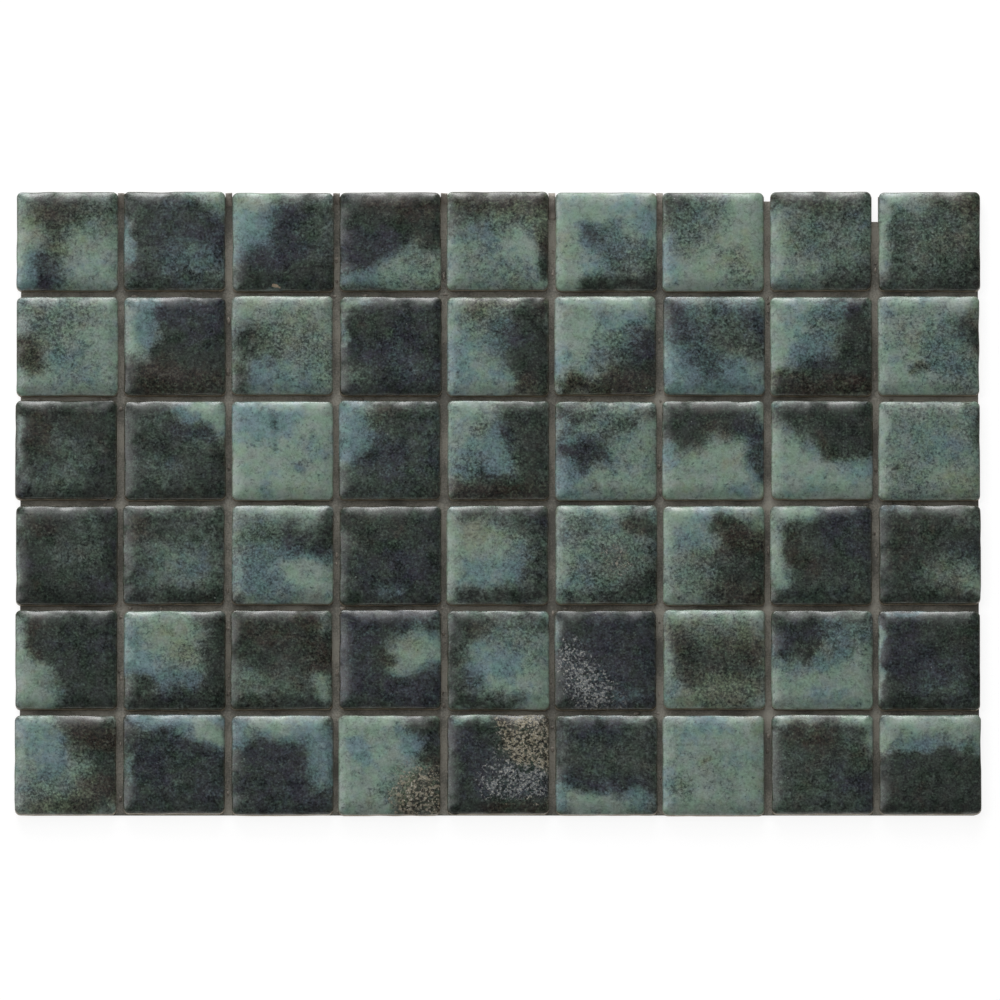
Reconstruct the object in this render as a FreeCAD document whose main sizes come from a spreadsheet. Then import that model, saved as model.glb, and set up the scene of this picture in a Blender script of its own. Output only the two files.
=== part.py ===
"""A sheet of glazed mosaic tiles on a mesh backing.

Fifty-four square pressed tiles, nine along and six across, stand face up on one thin backing
that holds them at an even joint. Every tile is one fired piece with a pillowed face, a rounded
arris and rounded plan corners. The backing is a fine mesh bedded in a film of adhesive. It stops
just inside the outer tiles, and its upper edge has two nicks where it was trimmed.

Frame: millimetres, +X along the nine tiles, +Y across the six, +Z up out of the glazed faces.
The origin is the middle of the sheet's underside. Row 1 is the row at +Y, column 1 is at -X.
"""
import FreeCAD, Part
import math
import os

import Sketcher
from FreeCAD import Rotation, Vector

# Driving dimensions: alias, value in millimetres (degrees for the twist), what it is
SIZES = [
    ("columns", 9, "tiles along X"),
    ("rows", 6, "tiles along Y"),
    ("tile_side", 48.0, "side of one square tile"),
    ("tile_thickness", 6.0, "foot to crown of one tile"),
    ("joint_width", 3.0, "gap between neighbouring tiles"),
    ("corner_radius", 2.4, "rounding of a tile's corners in plan"),
    ("crown_rise", 0.45, "fall of the face from its middle to the middle of a side"),
    ("arris_radius", 1.6, "rounding between the face and the walls"),
    ("foot_bevel", 0.4, "bevel around the tile's foot"),
    ("laying_slack", 0.3, "largest shift of a tile off its grid point, each way"),
    ("laying_twist", 0.4, "largest turn of a tile out of square, in degrees"),
    ("backing_thickness", 0.6, "mesh and adhesive film together"),
    ("backing_inset", 1.4, "how far the backing stops inside the outer tiles"),
    ("backing_shift", 0.7, "how far the backing lies towards +X of the tiles' middle"),
    ("backing_corner", 3.0, "rounding of the backing's corners"),
    ("long_nick", 15.0, "depth of the nick in the last joint along X"),
    ("short_nick", 5.0, "depth of the nick in the joint before it"),
]

doc = FreeCAD.newDocument("mosaic_sheet")


def make_size_sheet():
    """Puts every driving dimension in a cell of its own, with its alias."""
    sheet = doc.addObject("Spreadsheet::Sheet", "Sizes")
    for line, (alias, value, meaning) in enumerate(SIZES, start=1):
        sheet.set(f"A{line}", alias)
        sheet.set(f"B{line}", str(value))
        sheet.setAlias(f"B{line}", alias)
        sheet.set(f"C{line}", meaning)
    doc.recompute()
    return sheet


sizes = make_size_sheet()


def size(alias):
    """The value of a driving dimension, as a plain number."""
    return float(sizes.get(alias))


def new_body(name):
    """A body whose label is its name."""
    body = doc.addObject("PartDesign::Body", name)
    body.Label = name
    return body


def new_sketch(body, name, plane):
    """An empty sketch on one of the body's own origin planes."""
    sketch = body.newObject("Sketcher::SketchObject", name)
    support = next(item for item in body.Origin.OriginFeatures if item.Role == plane)
    sketch.AttachmentSupport = [(support, "")]
    sketch.MapMode = "FlatFace"
    return sketch


def dimension(sketch, name, value, expression, kind, *where):
    """Adds a dimension at the value it is drawn with and binds it to the size sheet."""
    index = sketch.addConstraint(Sketcher.Constraint(kind, *where, value))
    sketch.renameConstraint(index, name)
    sketch.setExpression(f"Constraints.{name}", expression)


def draw_rounded_rectangle(sketch, along, across, radius):
    """A rectangle about the sketch's origin with four equal rounded corners.

    Each measure is a pair: the value it is drawn with and the expression it is bound to.
    """
    length, width, corner_radius = along[0], across[0], radius[0]
    inner_x = length / 2 - corner_radius
    inner_y = width / 2 - corner_radius
    signs = ((1, -1), (1, 1), (-1, 1), (-1, -1))
    centres = [Vector(x * inner_x, y * inner_y, 0) for x, y in signs]
    sides, corners = [], []
    for turn, centre in enumerate(centres):
        before = centres[turn - 1]
        outward = Rotation(Vector(0, 0, 1), 90 * turn).multVec(Vector(0, -corner_radius, 0))
        start_angle = (turn - 1) * math.pi / 2
        circle = Part.Circle(centre, Vector(0, 0, 1), corner_radius)
        arc = Part.ArcOfCircle(circle, start_angle, start_angle + math.pi / 2)
        sides.append(sketch.addGeometry(Part.LineSegment(before + outward, centre + outward)))
        corners.append(sketch.addGeometry(arc))
    for turn in range(4):
        following = sides[(turn + 1) % 4]
        level = "Horizontal" if turn % 2 == 0 else "Vertical"
        sketch.addConstraint(Sketcher.Constraint("Tangent", sides[turn], 2, corners[turn], 1))
        sketch.addConstraint(Sketcher.Constraint("Tangent", corners[turn], 2, following, 1))
        sketch.addConstraint(Sketcher.Constraint(level, sides[turn]))
    for corner in corners[1:]:
        sketch.addConstraint(Sketcher.Constraint("Equal", corners[0], corner))
    bottom, right, top, left = sides
    sketch.addConstraint(Sketcher.Constraint("Symmetric", bottom, 1, top, 1, -1, 1))
    dimension(sketch, "along", *along, "DistanceX", left, 1, right, 1)
    dimension(sketch, "across", *across, "DistanceY", bottom, 1, top, 1)
    dimension(sketch, "corner", *radius, "Radius", corners[0])


def draw_crown_cut(sketch):
    """What is trimmed off above the face: the space over one shallow arc.

    The arc is turned about the level line through its own centre, which lies far below the tile,
    so the face becomes part of one large sphere. Returns the expression of the full turn.
    """
    half, rise, top = size("tile_side") / 2, size("crown_rise"), size("tile_thickness")
    dome = (half**2 + rise**2) / (2 * rise)
    reach = 1.5 * half
    edge_angle = math.acos(reach / dome)
    centre = Vector(0, top - dome, 0)
    shoulder = centre.y + dome * math.sin(edge_angle)
    roof = top + rise
    circle = Part.Circle(centre, Vector(0, 0, 1), dome)
    low_left, low_right = Vector(-reach, shoulder, 0), Vector(reach, shoulder, 0)
    high_left, high_right = Vector(-reach, roof, 0), Vector(reach, roof, 0)
    across = Vector(reach, 0, 0)
    arc = sketch.addGeometry(Part.ArcOfCircle(circle, edge_angle, math.pi - edge_angle))
    left = sketch.addGeometry(Part.LineSegment(low_left, high_left))
    lid = sketch.addGeometry(Part.LineSegment(high_left, high_right))
    right = sketch.addGeometry(Part.LineSegment(high_right, low_right))
    hinge = sketch.addGeometry(Part.LineSegment(centre - across, centre + across), True)
    for first, second, second_end in ((left, lid, 1), (lid, right, 1), (right, arc, 1)):
        sketch.addConstraint(Sketcher.Constraint("Coincident", first, 2, second, second_end))
    sketch.addConstraint(Sketcher.Constraint("Coincident", arc, 2, left, 1))
    sketch.addConstraint(Sketcher.Constraint("Vertical", left))
    sketch.addConstraint(Sketcher.Constraint("Vertical", right))
    sketch.addConstraint(Sketcher.Constraint("Horizontal", lid))
    sketch.addConstraint(Sketcher.Constraint("PointOnObject", arc, 3, -2))
    sketch.addConstraint(Sketcher.Constraint("Symmetric", hinge, 1, hinge, 2, arc, 3))
    sketch.addConstraint(Sketcher.Constraint("Horizontal", hinge))
    half_sum = "(Sizes.tile_side / 2)"
    dome_sum = f"(({half_sum}^2 + Sizes.crown_rise^2) / (2 * Sizes.crown_rise))"
    top_sum = "Sizes.tile_thickness"
    roof_sum = f"{top_sum} + Sizes.crown_rise"
    wide_sum = f"3 * {half_sum}"
    dimension(sketch, "dome", dome, dome_sum, "Radius", arc)
    dimension(sketch, "depth", -centre.y, f"{dome_sum} - {top_sum}", "DistanceY", arc, 3, -1, 1)
    dimension(sketch, "roof", roof, roof_sum, "DistanceY", -1, 1, lid, 1)
    dimension(sketch, "wide", 2 * reach, wide_sum, "DistanceX", lid, 1, lid, 2)
    dimension(sketch, "long", 2 * reach, wide_sum, "DistanceX", hinge, 1, hinge, 2)
    return f"2 * asin(1.5 * {half_sum} / {dome_sum})"


def edges_between(shape, low, high):
    """Names of the edges that lie wholly between two heights."""
    slack = 1e-4
    return [
        f"Edge{number}"
        for number, edge in enumerate(shape.Edges, start=1)
        if edge.BoundBox.ZMin > low - slack and edge.BoundBox.ZMax < high + slack
    ]


def press_tile(name):
    """One tile about its own middle: padded, crowned, then softened at its arris and foot."""
    body = new_body(name)
    plan = new_sketch(body, f"{name}_plan", "XY_Plane")
    side = (size("tile_side"), "Sizes.tile_side")
    draw_rounded_rectangle(plan, side, side, (size("corner_radius"), "Sizes.corner_radius"))
    blank = body.newObject("PartDesign::Pad", f"{name}_blank")
    blank.Profile = plan
    blank.setExpression("Length", "Sizes.tile_thickness")
    doc.recompute()
    over = new_sketch(body, f"{name}_over", "XZ_Plane")
    turn = draw_crown_cut(over)
    crown = body.newObject("PartDesign::Groove", f"{name}_crown")
    crown.Profile = over
    crown.ReferenceAxis = (over, ["Axis0"])
    crown.Midplane = True
    crown.setExpression("Angle", turn)
    doc.recompute()
    if crown.Shape.Volume >= blank.Shape.Volume:
        raise RuntimeError(f"{name}: the crown cut removed nothing")
    thickness = size("tile_thickness")
    arris = body.newObject("PartDesign::Fillet", f"{name}_arris")
    arris.Base = (crown, edges_between(crown.Shape, thickness / 2, thickness))
    arris.setExpression("Radius", "Sizes.arris_radius")
    doc.recompute()
    foot = body.newObject("PartDesign::Chamfer", f"{name}_foot")
    foot.Base = (arris, edges_between(arris.Shape, 0, 0))
    foot.setExpression("Size", "Sizes.foot_bevel")
    doc.recompute()
    return body


def laying_error(row, column):
    """How far off true this tile was laid: shares of the slack along X and Y, and of the twist.

    Three waves that never fall in step give every tile an error of its own, between -1 and 1.
    """
    return (
        math.sin(2.3 * row + 4.1 * column),
        math.sin(3.7 * row + 1.9 * column + 1.0),
        math.sin(5.3 * row + 2.9 * column + 2.0),
    )


def lay_tile(pressing, row, column):
    """A copy of the pressed tile at its place in the sheet, standing on the backing."""
    tile = doc.addObject("App::Link", f"tile_r{row}_c{column}")
    tile.LinkedObject = pressing
    tile.Label = tile.Name
    along, across, turn = laying_error(row, column)
    pitch = "(Sizes.tile_side + Sizes.joint_width)"
    grid_x = f"{pitch} * ({column} - (Sizes.columns + 1) / 2)"
    grid_y = f"{pitch} * ((Sizes.rows + 1) / 2 - {row})"
    tile.setExpression("Placement.Base.x", f"{grid_x} + Sizes.laying_slack * {along:.3f}")
    tile.setExpression("Placement.Base.y", f"{grid_y} + Sizes.laying_slack * {across:.3f}")
    tile.setExpression("Placement.Base.z", "Sizes.backing_thickness")
    tile.setExpression("Placement.Rotation.Angle", f"Sizes.laying_twist * {turn:.3f}")
    return tile


def draw_nick(sketch, joint, depth):
    """A slot that comes in from the backing's upper edge along the joint after a column."""
    pitch = size("tile_side") + size("joint_width")
    width, high = size("joint_width"), size("rows") * pitch / 2
    start = pitch * (joint - size("columns") / 2) - width / 2 - size("backing_shift")
    low = high - size(depth)
    corners = [
        Vector(start, low, 0),
        Vector(start + width, low, 0),
        Vector(start + width, high, 0),
        Vector(start, high, 0),
    ]
    sides = []
    for turn, corner in enumerate(corners):
        side = Part.LineSegment(corner, corners[(turn + 1) % 4])
        sides.append(sketch.addGeometry(side))
    for turn, level in enumerate(("Horizontal", "Vertical", "Horizontal", "Vertical")):
        following = sides[(turn + 1) % 4]
        sketch.addConstraint(Sketcher.Constraint("Coincident", sides[turn], 2, following, 1))
        sketch.addConstraint(Sketcher.Constraint(level, sides[turn]))
    foot, wall = sides[0], sides[1]
    pitch_sum = "(Sizes.tile_side + Sizes.joint_width)"
    middle_sum = f"{pitch_sum} * ({joint} - Sizes.columns / 2)"
    start_sum = f"{middle_sum} - Sizes.joint_width / 2 - Sizes.backing_shift"
    high_sum = f"Sizes.rows * {pitch_sum} / 2"
    width_sum = "Sizes.joint_width"
    dimension(sketch, f"{depth}_wide", width, width_sum, "DistanceX", foot, 1, foot, 2)
    dimension(sketch, f"{depth}_deep", high - low, f"Sizes.{depth}", "DistanceY", wall, 1, wall, 2)
    dimension(sketch, f"{depth}_high", high, high_sum, "DistanceY", -1, 1, wall, 2)
    dimension(sketch, f"{depth}_start", start, start_sum, "DistanceX", -1, 1, foot, 1)


def make_backing():
    """The mesh and its adhesive film as one thin slab, with two nicks in the upper edge."""
    body = new_body("mesh_backing")
    pitch = size("tile_side") + size("joint_width")
    trim = size("joint_width") + 2 * size("backing_inset")
    pitch_sum = "(Sizes.tile_side + Sizes.joint_width)"
    trim_sum = "(Sizes.joint_width + 2 * Sizes.backing_inset)"
    along = (size("columns") * pitch - trim, f"Sizes.columns * {pitch_sum} - {trim_sum}")
    across = (size("rows") * pitch - trim, f"Sizes.rows * {pitch_sum} - {trim_sum}")
    corner = (size("backing_corner"), "Sizes.backing_corner")
    outline = new_sketch(body, "backing_outline", "XY_Plane")
    draw_rounded_rectangle(outline, along, across, corner)
    slab = body.newObject("PartDesign::Pad", "backing_slab")
    slab.Profile = outline
    slab.setExpression("Length", "Sizes.backing_thickness")
    doc.recompute()
    nicks = new_sketch(body, "backing_nicks", "XY_Plane")
    last_joint = round(size("columns")) - 1
    draw_nick(nicks, last_joint, "long_nick")
    draw_nick(nicks, last_joint - 1, "short_nick")
    cut = body.newObject("PartDesign::Pocket", "backing_trim")
    cut.Profile = nicks
    cut.Reversed = True
    cut.setExpression("Length", "2 * Sizes.backing_thickness")
    doc.recompute()
    if cut.Shape.Volume >= slab.Shape.Volume:
        raise RuntimeError("mesh_backing: the nicks removed nothing")
    body.setExpression("Placement.Base.x", "Sizes.backing_shift")
    return body


def check(nodes):
    """Stops if any object failed or any piece is not one valid solid."""
    for item in doc.Objects:
        if "Invalid" in item.State or "Error" in item.State:
            raise RuntimeError(f"{item.Name} failed: {item.State}")
    for node in nodes:
        shape = Part.getShape(node)
        if shape.isNull() or not shape.isValid() or len(shape.Solids) != 1:
            raise RuntimeError(f"{node.Label} is not one valid solid")


pressing = press_tile("tile_pressing")
nodes = [make_backing()]
for row in range(1, round(size("rows")) + 1):
    for column in range(1, round(size("columns")) + 1):
        nodes.append(lay_tile(pressing, row, column))
doc.recompute()
check(nodes)

os.makedirs("parts", exist_ok=True)
for node in nodes:
    Part.getShape(node).exportStep(f"parts/{node.Label}.step")
print(f"{len(nodes)} pieces")
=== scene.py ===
# %% [markdown]
# # A sheet of clouded mosaic tiles
#
# Fifty-four square tiles lie face up on one thin backing, nine along and six across, with open
# joints between them. The glaze is the kind that changes in the kiln: sage, sea green and slate
# blue, crossed by near-black clouds, dusted with fine specks and, on a few tiles, crusted with
# ochre. The backing is a fibreglass mesh in a film of taupe adhesive.
#
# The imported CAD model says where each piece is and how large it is. Blender adds what a mould and
# a kiln add: swollen edges, uneven glaze, specks, pinholes, threads and spots of adhesive.

import math
import random

import bmesh
import bpy
from mathutils import Matrix, Vector, noise


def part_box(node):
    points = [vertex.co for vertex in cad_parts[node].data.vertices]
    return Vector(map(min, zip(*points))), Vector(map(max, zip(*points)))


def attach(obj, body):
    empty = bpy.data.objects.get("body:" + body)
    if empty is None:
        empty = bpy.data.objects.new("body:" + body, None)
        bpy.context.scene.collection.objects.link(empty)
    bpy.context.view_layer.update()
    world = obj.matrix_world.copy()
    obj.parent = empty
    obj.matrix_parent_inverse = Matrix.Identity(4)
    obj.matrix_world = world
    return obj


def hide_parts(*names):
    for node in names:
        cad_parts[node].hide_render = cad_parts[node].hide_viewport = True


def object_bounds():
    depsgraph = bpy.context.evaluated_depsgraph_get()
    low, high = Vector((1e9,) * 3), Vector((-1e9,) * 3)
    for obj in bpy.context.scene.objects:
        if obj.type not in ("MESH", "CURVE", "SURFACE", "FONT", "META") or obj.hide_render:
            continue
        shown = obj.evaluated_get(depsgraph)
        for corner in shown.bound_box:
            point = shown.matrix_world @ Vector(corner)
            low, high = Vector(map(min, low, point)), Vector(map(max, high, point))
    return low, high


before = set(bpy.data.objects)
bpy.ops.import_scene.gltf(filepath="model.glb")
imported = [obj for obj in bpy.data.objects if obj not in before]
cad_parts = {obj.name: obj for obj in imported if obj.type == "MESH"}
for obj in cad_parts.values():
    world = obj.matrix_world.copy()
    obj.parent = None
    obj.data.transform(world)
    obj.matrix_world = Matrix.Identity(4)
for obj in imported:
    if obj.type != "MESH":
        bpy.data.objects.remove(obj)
cad_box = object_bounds()
MM = 0.001
ROWS, COLUMNS = 6, 9
print("frame:", len(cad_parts), "CAD nodes,", [round(v, 4) for v in cad_box[1] - cad_box[0]])

# %% [markdown]
# ## How a tile lies
#
# The tiles were laid by hand, so each is a little off its grid point and a little out of square.
# The CAD node knows both. Its middle is the middle of its box. Its twist is the slope of its
# front wall, from the wall's left end to its right end. The pitch of the grid is the mean step
# from tile to tile along a row, to the whole millimetre.

# %% Read a tile's place and twist off its CAD node
FRONT_BAND = 0.8 * MM
WALL_BAND = 4 * MM


def how_it_lies(node_name):
    """Middle of the foot, twist about Z, side and thickness of a tile, from its CAD node."""
    low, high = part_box(node_name)
    middle = Vector(((low.x + high.x) / 2, (low.y + high.y) / 2, low.z))
    points = [vertex.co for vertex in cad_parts[node_name].data.vertices]
    front = [point for point in points
             if point.y < low.y + FRONT_BAND and point.z < low.z + WALL_BAND]
    left = min(front, key=lambda point: point.x)
    right = max(front, key=lambda point: point.x)
    twist = math.atan2(right.y - left.y, right.x - left.x)
    turn_back = Matrix.Rotation(-twist, 3, "Z")
    squared = [(turn_back @ (point - middle)).x for point in points]
    return middle, twist, max(squared) - min(squared), high.z - low.z


_, _, TILE_SIDE, TILE_THICKNESS = how_it_lies("tile_r3_c5")
row_start, row_end = [how_it_lies(f"tile_r3_c{column}")[0].x for column in (1, COLUMNS)]
PITCH = round((row_end - row_start) / (COLUMNS - 1) / MM) * MM
print(f"tile: {TILE_SIDE / MM:.2f} mm side, {TILE_THICKNESS / MM:.2f} mm thick")
print(f"pitch: {PITCH / MM:.0f} mm")

# %% [markdown]
# ## Clouds in the glaze, and painted shading at the edges
#
# In the kiln the glaze separates into pools and clouds, and no two tiles come out alike. A noise
# texture alone would scatter clouds anywhere, so each tile's clouds are first laid down as a few
# soft brush strokes, and noise in the material then frays their edges. Some strokes paint light
# and shade instead: thin pale and blue strokes along a tile's top and left edges are painted
# highlights, and the dark and brown bands along its bottom edge are partly glaze and partly
# painted shade.
#
# A stroke is a line from one point to another with a width, in the tile's own square: -1 to 1
# from left to right and from bottom to top. Strokes are laid one over another on the ground.

# %% The brush strokes a glaze and its painted shading are made of
GLAZES = {
    # name: (darkness, tone, specks, crust); None leaves what is there
    "dark": (1.0, 0.5, 0.5, None),
    "violet": (0.92, 1.0, 0.5, None),
    "brown": (0.95, 0.0, 0.7, None),
    "pale": (0.0, 0.5, 0.3, 0.0),
    "blue": (0.14, 1.0, 0.45, None),
    "olive": (0.1, 0.0, 0.3, None),
    "speckle": (0.42, None, 1.0, None),
    "ochre": (0.95, 0.0, 0.8, 1.0),
    "ash": (0.95, 1.0, 0.8, 1.0),
    "bare": (None, None, None, None),
}


def brush(glaze):
    """A brush that lays one glaze along a line, from (x, y) to (x2, y2)."""
    def stroke(x, y, x2, y2, width, strength=1.0):
        return glaze, Vector((x, y)), Vector((x2, y2)), width, strength
    return stroke


dark, violet, brown = brush("dark"), brush("violet"), brush("brown")
pale, blue, olive = brush("pale"), brush("blue"), brush("olive")
speckle, ochre, ash, bare = brush("speckle"), brush("ochre"), brush("ash"), brush("bare")

# %% Row 1, from left to right
# Thin pale and blue strokes that hug a tile's top or left edge are painted highlights; the dark and brown
# bands along a tile's bottom edge are partly glaze and partly painted shade.
CLOUDS_AND_PAINTED_SHADING = {}
CLOUDS_AND_PAINTED_SHADING[1, 1] = 0.25, [
    dark(-.4, .75, .8, .75, .4, .6), brown(-.3, .5, -.1, -.1, .36, .65), violet(-.6, -.6, -.5, -.9, .34),
    blue(-.9, -.5, -.85, -.8, .2), olive(-.85, .4, -.8, 0, .25, .5), pale(-.98, 0, -.98, -.3, .12),
    pale(.3, -.3, .5, -.5, .36, .7),
]
CLOUDS_AND_PAINTED_SHADING[1, 2] = 0.8, [
    violet(0, 0, .1, 0, 1, .4), pale(.2, 1, .95, .92, .14, .8), pale(.85, .75, .95, .6, .16, .6),
    blue(-.95, .3, -.92, -.4, .12, .75), violet(.75, .1, .9, -.2, .25), blue(.1, -.35, .7, -.45, .35, .3),
]
CLOUDS_AND_PAINTED_SHADING[1, 3] = 0.12, [
    olive(-.7, .8, -.2, .75, .2, .5), blue(-.7, .3, -.4, 0, .4), dark(.5, .9, .6, -.9, .5, .8),
    violet(.05, .45, .15, -.1, .26), violet(-.55, -.35, -.2, -.4, .28), dark(-.8, -.78, .9, -.75, .26),
    violet(.3, -.5, .8, -.5, .4, .3), bare(-.16, -1, -.08, -1, .035),
]
CLOUDS_AND_PAINTED_SHADING[1, 4] = 0.93, [
    brown(-.2, .8, .6, .75, .3, .7), violet(-.6, 0, .1, -.1, .24), blue(-.8, -.75, -.3, -.7, .22, .8),
    violet(-.9, -.3, -.5, -.4, .22), pale(.3, -.5, .9, -.45, .25, .85), pale(.2, -.8, .9, -.8, .28, .9),
    speckle(.5, -.6, .8, -.8, .4, .7),
]
CLOUDS_AND_PAINTED_SHADING[1, 5] = 0.22, [
    brown(-.7, .85, .8, .8, .3, .9), dark(-.9, .35, -.2, .3, .24, .6), brown(.9, .7, .95, -.2, .2),
    dark(.95, -.3, .95, -.6, .12), blue(-.5, .05, -.2, .05, .25, .5), speckle(.2, .35, .7, .3, .3),
    speckle(-.1, -.4, .3, -.8, .4, .5), pale(.42, -.05, .6, -.25, .22, .95),
]
CLOUDS_AND_PAINTED_SHADING[1, 6] = 0, [
    blue(.5, .7, .85, .4, .22, .8), blue(-.45, -.2, 0, -.5, .26, .9), violet(-.28, .15, .15, -.05, .2),
    violet(.1, -.05, .5, -.3, .23), dark(.45, -.42, .9, -.6, .32), dark(-.35, -.9, .95, -.86, .16),
    speckle(.2, 0, .6, -.3, .3), olive(-.8, -.1, -.7, -.3, .2, .5),
]
CLOUDS_AND_PAINTED_SHADING[1, 7] = 0.06, [
    dark(-.8, .82, -.1, .84, .15, .9), dark(-.68, .5, -.5, .2, .32), dark(-.3, .5, 0, .65, .2, .6),
    blue(-.92, -.1, -.92, -.7, .16), speckle(-.5, .2, -.1, .6, .35), speckle(.4, -.4, .6, -.8, .25),
    olive(-.1, -.3, .5, -.2, .4, .4),
]
CLOUDS_AND_PAINTED_SHADING[1, 8] = 0.6, [
    brown(-.8, .9, .8, .85, .16, .7), pale(-.88, .3, -.8, -.6, .2), pale(-.4, -.5, 0, -.6, .25, .5),
    dark(-.1, .6, .5, .5, .26, .6), dark(.35, -.78, .95, -.85, .26, .9), speckle(.1, 0, .4, 0, .7, .6),
]
CLOUDS_AND_PAINTED_SHADING[1, 9] = 0.8, [
    pale(-.8, .9, -.2, .85, .26), pale(-.93, .6, -.93, -.5, .12), brown(.3, .85, .9, .7, .28, .8),
    dark(-.2, .3, .3, 0, .4, .4), brown(.5, -.2, .9, -.4, .4, .5), dark(.3, -.6, .8, -.7, .3, .6),
    speckle(0, 0, .5, .2, .6, .6),
]

# %% Row 2
CLOUDS_AND_PAINTED_SHADING[2, 1] = 0.16, [
    speckle(-.6, .6, -.2, .4, .38), speckle(-.3, .2, .3, .7, .25), brown(-.82, -.1, -.62, -.2, .22),
    brown(-.85, -.3, -.7, -.45, .16, .6), olive(0, .3, .3, .4, .25, .3), blue(-.2, -.2, .2, -.3, .25, .5),
    speckle(-.2, -.1, .2, -.4, .4, .5),
]
CLOUDS_AND_PAINTED_SHADING[2, 2] = 0.93, [
    pale(-.88, .7, -.82, .05, .25, .85), blue(-.5, .8, -.52, .2, .18, .95), violet(-.1, .75, .7, .7, .3),
    brown(-.6, -.7, .6, -.8, .28), pale(-.85, -.1, -.6, -.2, .14, .6), violet(.3, .2, .6, .1, .3, .6),
]
CLOUDS_AND_PAINTED_SHADING[2, 3] = 0.26, [
    olive(-.5, .65, .2, .6, .3, .4), dark(-.75, .1, -.2, .05, .24, .85),
    dark(-.7, -.25, -.1, -.3, .25, .6), brown(-.3, .1, .2, 0, .2, .5),
    dark(-.87, -.6, -.75, -.9, .18, .8), blue(-.3, -.65, .2, -.75, .26), speckle(.1, .1, .8, -.2, .5, .8),
]
CLOUDS_AND_PAINTED_SHADING[2, 4] = 0.96, [
    violet(0, 0, .1, .1, .9, .8), pale(-.9, .9, -.5, .95, .12, .8), pale(-.96, .6, -.96, 0, .07, .7),
    blue(.3, -.3, .6, -.5, .25, .2), olive(-.75, -.6, -.6, -.65, .2, .3),
    brown(-.6, .5, -.4, .3, .25, .5),
]
CLOUDS_AND_PAINTED_SHADING[2, 5] = 0.15, [
    brown(-.3, .75, .8, .8, .26), dark(.5, .6, .85, 0, .34, .95), violet(.1, .35, .5, -.2, .28, .95),
    dark(.5, -.3, .9, -.5, .3, .9), brown(.55, -.75, .95, -.85, .26, .85),
    blue(-.85, -.1, -.7, -.7, .25, .75), speckle(-.3, .4, 0, .8, .3), blue(0, -.6, .2, -.7, .15, .7),
]
CLOUDS_AND_PAINTED_SHADING[2, 6] = 0.08, [
    dark(.4, -.35, .95, .15, .34), violet(.6, -.3, .95, -.1, .32),
    dark(.3, -.65, .9, -.6, .28, .95), brown(-.7, -.86, .8, -.85, .2, .92), blue(-.2, .75, 0, .6, .2, .6),
    blue(-.9, -.2, -.85, -.5, .15, .8), speckle(-.1, -.3, .3, .2, .3, .7), blue(.3, .5, .6, .6, .2, .5),
]
CLOUDS_AND_PAINTED_SHADING[2, 7] = 0.24, [
    violet(-.85, .75, -.5, .2, .32), violet(.1, .7, .5, .5, .24, .75),
    violet(-.4, .1, .3, .2, .26, .75), violet(-.3, -.3, .3, -.5, .32, .95),
    violet(.85, .5, .9, 0, .24, .9), brown(.3, .2, .6, 0, .3, .5), speckle(0, .2, .2, 0, .8, .3),
    blue(-.8, -.4, -.7, -.8, .25, .9), blue(.5, -.6, .8, -.7, .25, .7),
]
CLOUDS_AND_PAINTED_SHADING[2, 8] = 0.05, [
    dark(.6, .75, .7, -.2, .42), violet(.2, .7, .5, .7, .2, .8), blue(-.3, 0, -.1, -.4, .28, .9),
    dark(.2, -.5, .9, -.5, .32), violet(-.4, -.5, .3, -.5, .24, .85), brown(-.8, -.84, .8, -.82, .22),
    speckle(-.1, .2, .1, .7, .3), blue(-.5, .6, -.4, .5, .3, .6),
]
CLOUDS_AND_PAINTED_SHADING[2, 9] = 0.08, [
    brown(.8, .35, .95, .2, .24), violet(.55, .3, .8, .15, .2, .85), brown(.9, .0, .95, -.1, .15, .7),
    blue(.2, -.1, .5, -.3, .25, .7), speckle(.2, -.1, .7, -.5, .4), brown(-.3, -.52, 0, -.45, .05, .6),
    speckle(-.5, .3, -.2, .5, .4, .5),
]

# %% Row 3
CLOUDS_AND_PAINTED_SHADING[3, 1] = 0.97, [
    brown(-.7, .4, -.5, .2, .35, .6), pale(0, .1, .3, -.2, .3, .28), pale(-.6, -.6, 0, -.65, .25, .28),
    violet(-.6, -.3, -.5, -.35, .15, .5), pale(-.97, .7, -.97, -.6, .06, .5),
]
CLOUDS_AND_PAINTED_SHADING[3, 2] = 0.92, [
    pale(.55, .85, .9, .6, .24), blue(.1, .8, .3, .72, .15, .7), violet(.05, .35, .6, .3, .15),
    pale(-.5, .5, -.3, .5, .2, .2), blue(-.6, -.3, -.1, -.5, .25, .25), pale(.2, 0, .5, 0, .25, .15),
]
CLOUDS_AND_PAINTED_SHADING[3, 3] = 0, [
    blue(-.7, .7, -.1, .55, .36), dark(-.2, .85, -.22, .05, .04, .5), blue(.6, .1, .8, -.1, .15, .6),
    violet(.34, -.36, .36, -.42, .05, .7), speckle(.4, -.3, .7, .1, .3, .3),
    blue(-.4, -.8, -.3, -.85, .14, .6),
]
CLOUDS_AND_PAINTED_SHADING[3, 4] = 0.76, [
    violet(.2, 0, .3, 0, .9, .4), blue(-.87, .8, -.78, .2, .27), blue(-.92, 0, -.85, -.15, .16, .7),
    blue(-.5, .7, -.5, .3, .2, .5), brown(-.05, .7, .1, .65, .25, .65), violet(-.4, -.2, .2, -.1, .2, .4),
    dark(.8, -.8, .95, -.95, .2),
]
CLOUDS_AND_PAINTED_SHADING[3, 5] = 0.1, [
    dark(.6, .7, .6, -.6, .5), violet(.1, .35, .12, -.15, .18, .9), blue(-.7, -.35, -.2, -.5, .3, .9),
    speckle(-.5, -.4, -.1, -.4, .4), violet(-.4, -.6, .1, -.6, .15, .8), brown(-.8, -.86, .9, -.85, .2),
    speckle(-.4, .4, -.2, .4, .15), blue(-.1, .1, 0, -.3, .15, .8),
]
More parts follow.
